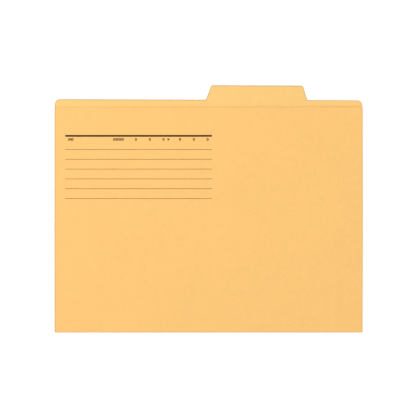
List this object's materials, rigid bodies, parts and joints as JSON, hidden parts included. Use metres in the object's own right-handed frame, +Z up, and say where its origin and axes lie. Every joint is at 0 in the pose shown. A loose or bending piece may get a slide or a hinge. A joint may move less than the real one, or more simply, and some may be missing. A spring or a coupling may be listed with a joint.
{
  "type": "manila folder",
  "caption": "Manila board folder for A4 papers: a tall back leaf with an index tab right of the middle, a rolled fold along the bottom and a shorter front leaf that opens on it.",
  "frame": {"origin": "on the table, under the middle of the shut folder's box, tab included", "axes": "+X along the bottom fold, to the right as the front leaf is read; +Y from the fold towards the index tab; +Z up, out of the front leaf"},
  "size_m": [0.31, 0.249, 0.0011],
  "materials": {
    "manila_board": "matte"
  },
  "bodies": {
    "back_leaf": {"back_leaf": "manila_board", "main_fold": "manila_board"},
    "front_leaf": {"front_leaf": "manila_board"}
  },
  "joints": [
    {"name": "front_leaf_open", "type": "hinge", "parent": "back_leaf", "child": "front_leaf", "pos_m": [0, -0.12395, 0.00055], "axis": [1, 0, 0], "range_deg": [0, 178]}
  ]
}
